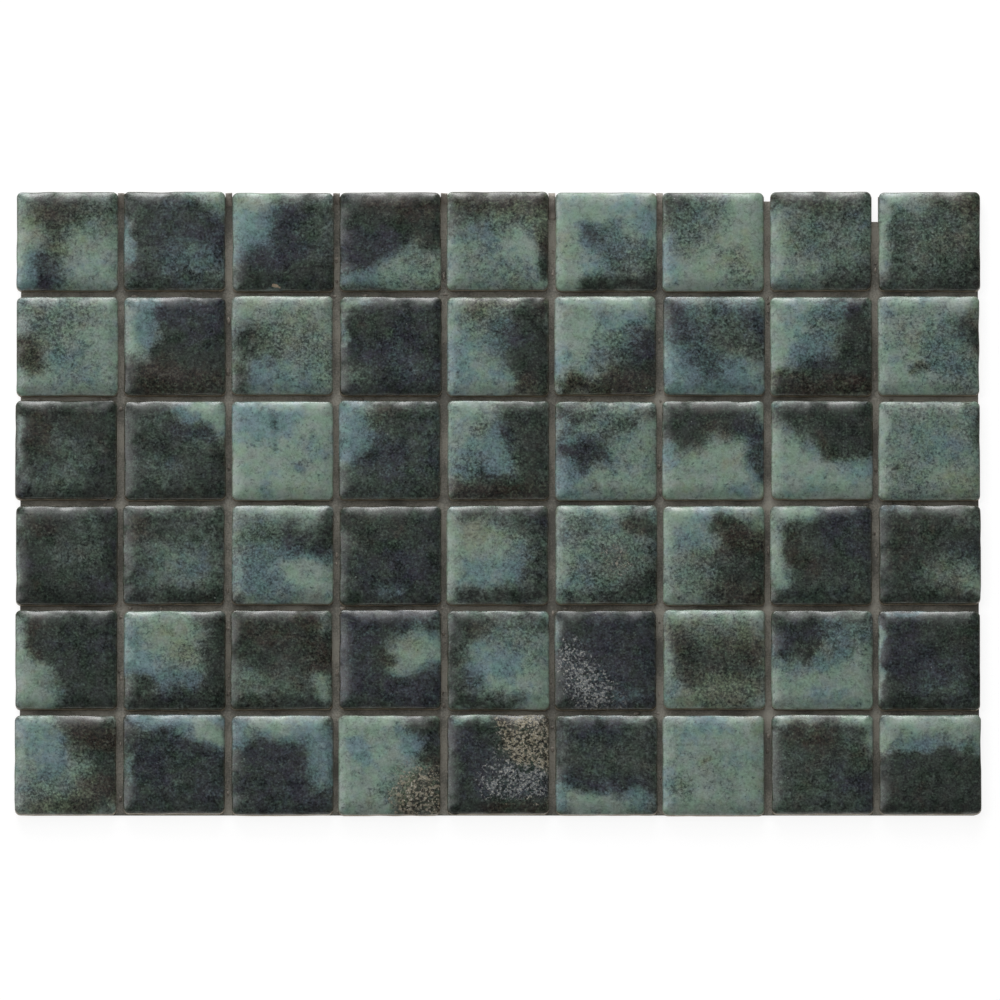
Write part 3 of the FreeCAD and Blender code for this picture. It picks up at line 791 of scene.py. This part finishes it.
# %% Colour and node helpers
def paint(red, green, blue):
    """A colour written from 0 to 255, as Blender's linear colour."""
    shares = [value / 255 for value in (red, green, blue)]
    return tuple(s / 12.92 if s <= 0.04045 else ((s + 0.055) / 1.055) ** 2.4 for s in shares) + (1.0,)


def add(tree, kind, inputs=None, **settings):
    """Add a node, make its settings, and fill or connect its inputs."""
    new = tree.nodes.new("ShaderNode" + kind)
    for name, value in settings.items():
        setattr(new, name, value)
    for key, value in (inputs or {}).items():
        if isinstance(value, bpy.types.NodeSocket):
            tree.links.new(value, new.inputs[key])
        else:
            new.inputs[key].default_value = value
    return new


def count(tree, operation, *values):
    """A Math node's result."""
    return add(tree, "Math", dict(enumerate(values)), operation=operation).outputs[0]


def mixed(tree, share, first, second, blend_type="MIX"):
    """Two colours mixed by a share."""
    mix = add(tree, "Mix", {0: share, 6: first, 7: second}, data_type="RGBA", blend_type=blend_type)
    return mix.outputs[2]


def tinted(tree, colour, tint):
    """A colour multiplied by another."""
    return mixed(tree, 1.0, colour, tint, "MULTIPLY")


def step(tree, value, low, high):
    """0 where the value is under low, 1 over high, and a soft S between."""
    limits = {"Value": value, "From Min": low, "From Max": high}
    return add(tree, "MapRange", limits, interpolation_type="SMOOTHSTEP").outputs[0]


def grain(tree, place, size, detail=3.0, roughness=0.55, distortion=0.0):
    """Noise whose spots are about this size, around 0.5."""
    settings = {"Vector": place, "Scale": 1 / size, "Detail": detail, "Roughness": roughness}
    settings["Distortion"] = distortion
    return add(tree, "TexNoise", settings).outputs["Fac"]


def swing(tree, value, reach):
    """A noise moved to lie around 0, with this reach from its lowest to its highest."""
    return count(tree, "MULTIPLY_ADD", value, reach, -reach / 2)


def new_group(name, inputs, outputs):
    """A shader node group with named sockets; returns it and its input and output nodes."""
    tree = bpy.data.node_groups.new(name, "ShaderNodeTree")
    for socket_name, kind, *default in inputs:
        socket = tree.interface.new_socket(socket_name, in_out="INPUT", socket_type="NodeSocket" + kind)
        if default:
            socket.default_value = default[0]
    for socket_name, kind in outputs:
        tree.interface.new_socket(socket_name, in_out="OUTPUT", socket_type="NodeSocket" + kind)
    start = tree.nodes.new("NodeGroupInput").outputs
    end = tree.nodes.new("NodeGroupOutput").inputs
    return tree, start, end


def place_group(tree, group, inputs):
    """The outputs of a group's node, with its inputs filled or connected."""
    return add(tree, "Group", inputs, node_tree=group).outputs


def new_material(name, settings):
    """A material with one Principled shader; returns it, its tree and the shader."""
    material = bpy.data.materials.new(name)
    material.use_nodes = True
    tree = material.node_tree
    tree.nodes.clear()
    shader = add(tree, "BsdfPrincipled", settings)
    add(tree, "OutputMaterial", {"Surface": shader.outputs[0]})
    return material, tree, shader

# %% [markdown]
# ## Two effects that several materials share
#
# Mottle is the slow change of tone that clay, adhesive and glass thread all have: two colours
# that run into each other in patches, with a fine grain on top. Specks are the iron spots and
# dust that sit on a surface, each with a hard edge: small spots where a fine noise rises over a
# limit. Both are groups, so each material places them with its own sizes and colours.

# %% The mottle group
MOTTLE, inside, outside = new_group(
    "Mottle",
    [("Place", "Vector"), ("Patch size", "Float", 0.01), ("Grain size", "Float", 0.001),
     ("Light colour", "Color"), ("Dark colour", "Color")],
    [("Color", "Color"), ("Height", "Float")],
)
patch_scale = count(MOTTLE, "DIVIDE", 1.0, inside["Patch size"])
grain_scale = count(MOTTLE, "DIVIDE", 1.0, inside["Grain size"])
patch_settings = {"Vector": inside["Place"], "Scale": patch_scale, "Detail": 4.0}
grain_settings = {"Vector": inside["Place"], "Scale": grain_scale, "Detail": 2.0}
patches = add(MOTTLE, "TexNoise", patch_settings).outputs["Fac"]
grains = add(MOTTLE, "TexNoise", grain_settings).outputs["Fac"]
blend = count(MOTTLE, "MULTIPLY_ADD", grains, 0.5, count(MOTTLE, "SUBTRACT", patches, 0.25))
share = step(MOTTLE, blend, 0.3, 0.7)
MOTTLE.links.new(mixed(MOTTLE, share, inside["Light colour"], inside["Dark colour"]), outside["Color"])
height = count(MOTTLE, "MULTIPLY_ADD", patches, 0.6, count(MOTTLE, "MULTIPLY", grains, 0.4))
MOTTLE.links.new(height, outside["Height"])

# %% The specks group
SPECKS, inside, outside = new_group(
    "Specks",
    [("Place", "Vector"), ("Size", "Float", 0.001), ("Amount", "Float", 0.5)],
    [("Mask", "Float")],
)
speck_scale = count(SPECKS, "DIVIDE", 1.0, inside["Size"])
speck_settings = {"Vector": inside["Place"], "Scale": speck_scale, "Detail": 2.5, "Roughness": 0.6}
dust = add(SPECKS, "TexNoise", speck_settings).outputs["Fac"]
limit = count(SPECKS, "MULTIPLY_ADD", inside["Amount"], -0.22, 0.68)
rise = count(SPECKS, "MULTIPLY", count(SPECKS, "SUBTRACT", dust, limit), 14.0)
SPECKS.links.new(step(SPECKS, rise, 0.0, 1.0), outside["Mask"])
print("groups:", [group.name for group in (MOTTLE, SPECKS)])

# %% [markdown]
# ## The clouded glaze
#
# The brush strokes give each vertex a darkness, a tone, an amount of specks and of crust. Used
# as they are, they would look airbrushed. A glaze that separates has ragged shores: so noise is
# added to the darkness before it is cut into pale and dark, and the shore itself gets the
# slate-blue fringe that forms where the two glazes meet.

# %% The glaze's colours
SAGE, OLIVE, SEA = paint(135, 155, 143), paint(133, 146, 124), paint(119, 148, 149)
SLATE, DEEP_SLATE = paint(84, 108, 114), paint(45, 55, 57)
GREEN_BLACK, VIOLET_BLACK, BROWN_BLACK = paint(40, 49, 43), paint(42, 43, 51), paint(48, 43, 38)
MOSS, SOOT = paint(98, 114, 101), paint(22, 25, 24)
CRUST_OCHRE, CRUST_ASH, CRUST_WHITE = paint(132, 125, 106), paint(105, 110, 112), paint(184, 181, 170)
CLAY_LIGHT, CLAY_DARK = paint(168, 152, 130), paint(128, 112, 94)
THIN_RIM, WHITE_GRIT, BLACK_GRIT = paint(84, 78, 62), paint(170, 178, 172), paint(24, 24, 24)
GREENER, PINKER = (0.95, 1.03, 0.94, 1), (1.06, 0.96, 1.03, 1)
# Painted light: the clay of the foot is made this much lighter and bluer, for walls that lie in shade.
FOOT_PAINTED_LIGHT = (1.22, 1.36, 1.45, 1)

# %% What the glaze reads from each vertex
glaze, tree, shader = new_material("Clouded glaze", {"IOR": 1.5})
# The clouds attribute brings the glaze clouds and the painted highlights and shade along the edges.
clouds_and_painted_shading = add(tree, "Attribute", attribute_name="clouds_and_painted_shading").outputs
edge_colour = add(tree, "Attribute", attribute_name="edges").outputs["Color"]
place = add(tree, "Attribute", attribute_name="place").outputs["Vector"]
parts = add(tree, "SeparateColor", {0: clouds_and_painted_shading["Color"]}).outputs
darkness, tone, dustiness, crust = parts[0], parts[1], parts[2], clouds_and_painted_shading["Alpha"]
parts = add(tree, "SeparateColor", {0: edge_colour}).outputs
rim, foot, chip = parts[0], parts[1], parts[2]

# %% Ragged shores between pale and dark
shore = grain(tree, place, 8 * MM, detail=5.0, roughness=0.6, distortion=0.4)
frill = grain(tree, place, 2.6 * MM, detail=2.0, roughness=0.55)
stipple = grain(tree, place, 1.4 * MM, detail=2.0, roughness=0.7)
fringes = swing(tree, frill, 0.5)
frayed = count(tree, "ADD", darkness, swing(tree, shore, 0.5))
frayed = count(tree, "ADD", frayed, fringes)
loose = count(tree, "MULTIPLY_ADD", dustiness, 1.25, 0.1)
frayed_dots = count(tree, "MULTIPLY_ADD", count(tree, "SUBTRACT", stipple, 0.5), loose, frayed)
dark_mask = step(tree, frayed_dots, -0.2, 1.05)
blue_shore = count(tree, "SUBTRACT", step(tree, frayed, 0.0, 0.35), step(tree, frayed, 0.35, 0.8))

# %% Tones that drift from olive and brown through green to blue and violet
drift = count(tree, "ADD", tone, swing(tree, grain(tree, place, 11 * MM, 3.0), 1.1))
drift = count(tree, "ADD", drift, swing(tree, grain(tree, place, 3.4 * MM, 2.0), 0.7))
pale_colour = mixed(tree, step(tree, drift, 0.0, 0.5), OLIVE, SAGE)
pale_colour = mixed(tree, step(tree, drift, 0.5, 1.0), pale_colour, SEA)
dark_colour = mixed(tree, step(tree, drift, 0.0, 0.5), BROWN_BLACK, GREEN_BLACK)
dark_colour = mixed(tree, step(tree, drift, 0.5, 1.0), dark_colour, VIOLET_BLACK)
colour = mixed(tree, dark_mask, pale_colour, dark_colour)
blueness = count(tree, "MULTIPLY", blue_shore, step(tree, drift, 0.3, 0.9))
colour = mixed(tree, count(tree, "MULTIPLY", blueness, 0.55), colour, SLATE)

# %% Dark specks in clusters, and faint green lights in the dark
clusters = grain(tree, place, 5.5 * MM, 2.0)
dusted = count(tree, "ADD", dustiness, count(tree, "MULTIPLY_ADD", clusters, 1.6, -0.96))
dark_specks = place_group(tree, SPECKS, {"Place": place, "Size": 1.3 * MM, "Amount": dusted})["Mask"]
speck_colour = mixed(tree, dark_mask, DEEP_SLATE, SOOT)
colour = mixed(tree, count(tree, "MULTIPLY", dark_specks, 0.55), colour, speck_colour)
shifted = add(tree, "VectorMath", {0: place, 1: (0.5, 0.2, 0.7)}, operation="ADD").outputs[0]
green_inputs = {"Place": shifted, "Size": 1.2 * MM, "Amount": dustiness}
lights = count(tree, "MULTIPLY", place_group(tree, SPECKS, green_inputs)["Mask"], dark_mask)
colour = mixed(tree, count(tree, "MULTIPLY", lights, 0.25), colour, MOSS)

# %% Broken veins, where a noise crosses its middle
wander = grain(tree, place, 3.6 * MM, detail=4.0, roughness=0.65, distortion=0.8)
vein = step(tree, count(tree, "ABSOLUTE", count(tree, "SUBTRACT", wander, 0.5)), 0.06, 0.005)
breaks = count(tree, "MULTIPLY_ADD", dustiness, 0.1, grain(tree, place, 4.5 * MM, 2.0))
vein = count(tree, "MULTIPLY", vein, step(tree, breaks, 0.5, 0.62))
vein = count(tree, "MULTIPLY", vein, count(tree, "MULTIPLY_ADD", dark_mask, 0.6, 0.24))
colour = mixed(tree, vein, colour, SOOT)

# %% A leathery shade, strongest in the dark, and a blush of green and pink
leather = count(tree, "SUBTRACT", grain(tree, place, 1.0 * MM, 1.0, 0.6), 0.5)
patchy = count(tree, "SUBTRACT", grain(tree, place, 4.0 * MM, 2.0, 0.6), 0.5)
uneven = count(tree, "MULTIPLY_ADD", patchy, 0.45, leather)
shade = count(tree, "MULTIPLY_ADD", uneven, count(tree, "MULTIPLY_ADD", dark_mask, 2.4, 0.35), 1.0)
colour = tinted(tree, colour, shade)
blush = step(tree, grain(tree, place, 7 * MM, 3.0), 0.34, 0.66)
colour = tinted(tree, colour, mixed(tree, blush, GREENER, PINKER))

# %% Crust in flakes
flakes = grain(tree, place, 1.2 * MM, detail=2.0, roughness=0.7)
crumbs = count(tree, "ADD", flakes, count(tree, "MULTIPLY", frill, 0.5))
crust_edge = count(tree, "MULTIPLY_ADD", crumbs, 3.6, -2.82)
crust_mask = step(tree, count(tree, "MULTIPLY_ADD", crust, 0.65, crust_edge), 0.2, 0.8)
crust_mask = count(tree, "MULTIPLY", crust_mask, step(tree, crust, 0.02, 0.15))
ashes = count(tree, "MULTIPLY_ADD", stipple, 0.8, count(tree, "SUBTRACT", tone, 0.4))
crust_colour = mixed(tree, step(tree, ashes, 0.2, 0.8), CRUST_OCHRE, CRUST_ASH)
white_flakes = step(tree, grain(tree, place, 0.7 * MM, 2.0), 0.5, 0.7)
crust_colour = mixed(tree, white_flakes, crust_colour, CRUST_WHITE)
colour = mixed(tree, crust_mask, colour, crust_colour)

# %% Thin glaze at the rim, bare clay in chips and at the foot, with painted light on the foot's clay
clay_inputs = {"Place": place, "Patch size": 4 * MM, "Grain size": 0.5 * MM}
clay_inputs.update({"Light colour": CLAY_LIGHT, "Dark colour": CLAY_DARK})
clay = place_group(tree, MOTTLE, clay_inputs)["Color"]
thin = step(tree, count(tree, "ADD", rim, fringes), 0.75, 1.05)
colour = mixed(tree, count(tree, "MULTIPLY", thin, 0.3), colour, THIN_RIM)
bareness = count(tree, "ADD", count(tree, "MAXIMUM", foot, chip), fringes)
bare_mask = step(tree, bareness, 0.4, 0.6)
# The foot's clay is painted lighter and bluer, most at the bottom: painted light on walls that lie in
# shade in the joints.
bare_clay_and_painted_light = mixed(tree, foot, clay, tinted(tree, clay, FOOT_PAINTED_LIGHT))
colour = mixed(tree, bare_mask, colour, bare_clay_and_painted_light)

# %% Single grains of black and white grit
cells = add(tree, "TexVoronoi", {"Vector": place, "Scale": 1 / (8 * MM)}).outputs
chosen = add(tree, "SeparateColor", {0: cells["Color"]}).outputs
grit = step(tree, cells["Distance"], 0.055, 0.03)
white_grit = count(tree, "MULTIPLY", grit, step(tree, chosen[0], 0.86, 0.87))
black_grit = count(tree, "MULTIPLY", grit, step(tree, chosen[1], 0.55, 0.56))
colour = mixed(tree, count(tree, "MULTIPLY", black_grit, 0.8), colour, BLACK_GRIT)
colour = mixed(tree, count(tree, "MULTIPLY", white_grit, 0.5), colour, WHITE_GRIT)
tree.links.new(colour, shader.inputs["Base Color"])

# %% Gloss and relief
sheen = step(tree, grain(tree, place, 10 * MM, 2.0), 0.34, 0.58)
tree.links.new(count(tree, "MULTIPLY_ADD", sheen, 0.46, 0.14), shader.inputs["Specular IOR Level"])
satin = count(tree, "MULTIPLY_ADD", grain(tree, place, 3 * MM, 2.0), 0.18, 0.18)
matt = count(tree, "MULTIPLY", count(tree, "MAXIMUM", crust_mask, bare_mask), 0.62)
tree.links.new(count(tree, "MAXIMUM", satin, matt), shader.inputs["Roughness"])
ripple = count(tree, "MULTIPLY", grain(tree, place, 3.2 * MM, 2.0), 0.5)
relief = count(tree, "MULTIPLY_ADD", count(tree, "MULTIPLY", flakes, crust_mask), 1.2, ripple)
relief = count(tree, "SUBTRACT", relief, count(tree, "MULTIPLY", dark_specks, 0.15))
bump = add(tree, "Bump", {"Height": relief, "Strength": 0.3, "Distance": 0.2 * MM})
tree.links.new(bump.outputs[0], shader.inputs["Normal"])
for tile in tiles:
    tile.data.materials.append(glaze)
print("glaze:", len(tree.nodes), "nodes on", len(tiles), "tiles")

# %% [markdown]
# ## The adhesive and the glass threads
#
# The film is matt, uneven and a little dusty: a warm taupe. Its second coat and its spots are a
# little lighter. Glass thread is brighter and faintly silky. All three are the mottle with their
# own colours, sizes and relief, so one function makes them.

# %% A mottled material, for adhesive and thread
TAUPE = paint(160, 157, 147), paint(102, 101, 94)
COAT_TAUPE = paint(168, 161, 151), paint(120, 115, 107)
GLASS = paint(206, 198, 186), paint(170, 156, 144)


def mottled_material(name, colours, roughness, sizes, relief):
    """A material of two colours in patches, with a skin as uneven as they are."""
    material, tree, shader = new_material(name, {"Roughness": roughness})
    inputs = {"Place": add(tree, "TexCoord").outputs["Object"]}
    inputs["Light colour"], inputs["Dark colour"] = colours
    inputs["Patch size"], inputs["Grain size"] = sizes
    mottle = place_group(tree, MOTTLE, inputs)
    tree.links.new(mottle["Color"], shader.inputs["Base Color"])
    strength, depth = relief
    bump = add(tree, "Bump", {"Height": mottle["Height"], "Strength": strength, "Distance": depth})
    tree.links.new(bump.outputs[0], shader.inputs["Normal"])
    return material


# %% The backing's materials
ADHESIVE_RELIEF = 0.6, 0.4 * MM
THREAD_RELIEF = 0.5, 0.15 * MM
film_sizes, coat_sizes, thread_sizes = (20 * MM, 0.8 * MM), (5 * MM, 0.8 * MM), (5 * MM, 0.3 * MM)
film_material = mottled_material("Adhesive film", TAUPE, 0.75, film_sizes, ADHESIVE_RELIEF)
coat_material = mottled_material("Second coat", COAT_TAUPE, 0.75, coat_sizes, ADHESIVE_RELIEF)
thread_material = mottled_material("Glass thread", GLASS, 0.5, thread_sizes, THREAD_RELIEF)
film.data.materials.clear()
film.data.materials.append(film_material)
for piece in (spots, second_coat):
    piece.data.materials.append(coat_material)
for piece in (weft, warp):
    piece.data.materials.append(thread_material)
print("materials:", [material.name for material in bpy.data.materials if material.users])

# %% [markdown]
# ## Camera, light and floor
#
# The photograph looks down on the sheet from far away, a little from the front. So the camera
# has a very long lens, which keeps the rows parallel.
#
# The tile edges that face up the picture are bright and those that face down are dark. So the
# key light stands behind the sheet: three soft lamps, one above the other, weaker the higher
# they are, which shade off as one window would. Three more stand on the left, and a weak fill
# stands in front. None may stand where the flat glaze would mirror it into the camera.

# %% The camera
ELEVATION = math.radians(76)
LENS = 1500
SENSOR = 36
SHEET_LEFT, SHEET_RIGHT = 15, 981
PIXELS = 1000
picture_width = (cad_box[1].x - cad_box[0].x) * PIXELS / (SHEET_RIGHT - SHEET_LEFT)
distance = picture_width * LENS / SENSOR
aim = Vector((0.95 * MM, 1.6 * MM, 3 * MM))
towards = Vector((0, -math.cos(ELEVATION), math.sin(ELEVATION)))
camera = bpy.data.objects.new("camera", bpy.data.cameras.new("camera"))
bpy.context.scene.collection.objects.link(camera)
camera.data.lens = LENS
camera.data.clip_start = 1
camera.data.clip_end = 100
camera.location = aim + towards * distance
camera.rotation_euler = (math.pi / 2 - ELEVATION, 0, 0)
bpy.context.scene.camera = camera
print(f"camera {distance:.1f} m away, {picture_width / MM:.0f} mm across the picture")

# %% The lamps
LAMP_DISTANCE = 3.0
KEY_AZIMUTH, SIDE_AZIMUTH, FILL_AZIMUTH = -8, -82, 180
LAMPS = [
    # name, azimuth and elevation in degrees, width, height, power
    ("key low", KEY_AZIMUTH, 18, 2.6, 1.06, 82),
    ("key middle", KEY_AZIMUTH, 38, 2.6, 1.06, 16),
    ("key high", KEY_AZIMUTH, 57, 2.6, 0.9, 4),
    ("side low", SIDE_AZIMUTH, 32, 2.0, 0.9, 14),
    ("side middle", SIDE_AZIMUTH, 49, 2.0, 0.9, 8),
    ("side high", SIDE_AZIMUTH, 66, 2.0, 0.9, 2.6),
    ("fill", FILL_AZIMUTH, 28, 3.0, 0.9, 12),
]


def soft_lamp(name, azimuth, elevation, width, height, power):
    """A lamp that looks at the sheet; its azimuth is counted from the top of the picture."""
    lamp = bpy.data.objects.new(name, bpy.data.lights.new(name, "AREA"))
    bpy.context.scene.collection.objects.link(lamp)
    turn, rise = math.radians(azimuth), math.radians(elevation)
    direction = Vector((math.sin(turn) * math.cos(rise), math.cos(turn) * math.cos(rise), math.sin(rise)))
    lamp.location = direction * LAMP_DISTANCE
    lamp.rotation_euler = direction.to_track_quat("Z", "Y").to_euler()
    lamp.data.shape = "RECTANGLE"
    lamp.data.size, lamp.data.size_y = width, height
    lamp.data.energy = power


for lamp_settings in LAMPS:
    soft_lamp(*lamp_settings)
print(len(LAMPS), "lamps")

# %% The world: white to the eye, dim above, brighter near the horizon
world = bpy.data.worlds.new("studio")
bpy.context.scene.world = world
world.use_nodes = True
tree = world.node_tree
tree.nodes.clear()
rays = add(tree, "LightPath").outputs
seen = count(tree, "MAXIMUM", rays["Is Camera Ray"], rays["Is Transmission Ray"])
direction = add(tree, "TexCoord").outputs["Generated"]
rise = add(tree, "SeparateXYZ", {0: direction}).outputs["Z"]
near_horizon = step(tree, rise, 0.35, 0.05)
seen = count(tree, "MAXIMUM", seen, count(tree, "MULTIPLY", rays["Is Glossy Ray"], near_horizon))
level = count(tree, "MULTIPLY_ADD", seen, 0.82, 0.18)
background = add(tree, "Background", {"Color": (1, 1, 1, 1), "Strength": level})
add(tree, "OutputWorld", {"Surface": background.outputs[0]})

# %% The floor
floor_maker = bmesh.new()
bmesh.ops.create_grid(floor_maker, x_segments=1, y_segments=1, size=6.0)
floor = finish_mesh(floor_maker, "floor")
floor_material = bpy.data.materials.new("White floor")
floor_material.use_nodes = True
tree = floor_material.node_tree
tree.nodes.clear()
rays = add(tree, "LightPath").outputs
seen = count(tree, "MAXIMUM", rays["Is Camera Ray"], rays["Is Glossy Ray"])
seen = count(tree, "MAXIMUM", seen, rays["Is Transmission Ray"])
cloth = add(tree, "BsdfDiffuse", {"Color": (0.8, 0.8, 0.8, 1)})
glow = add(tree, "Emission", {"Color": (1, 1, 1, 1), "Strength": 0.86})
lit = add(tree, "BsdfDiffuse", {"Color": (0.22, 0.22, 0.22, 1)})
shown = add(tree, "AddShader", {0: glow.outputs[0], 1: lit.outputs[0]})
mix = add(tree, "MixShader", {0: seen, 1: cloth.outputs[0], 2: shown.outputs[0]})
add(tree, "OutputMaterial", {"Surface": mix.outputs[0]})
floor.data.materials.append(floor_material)
bpy.context.scene.view_settings.view_transform = "Standard"
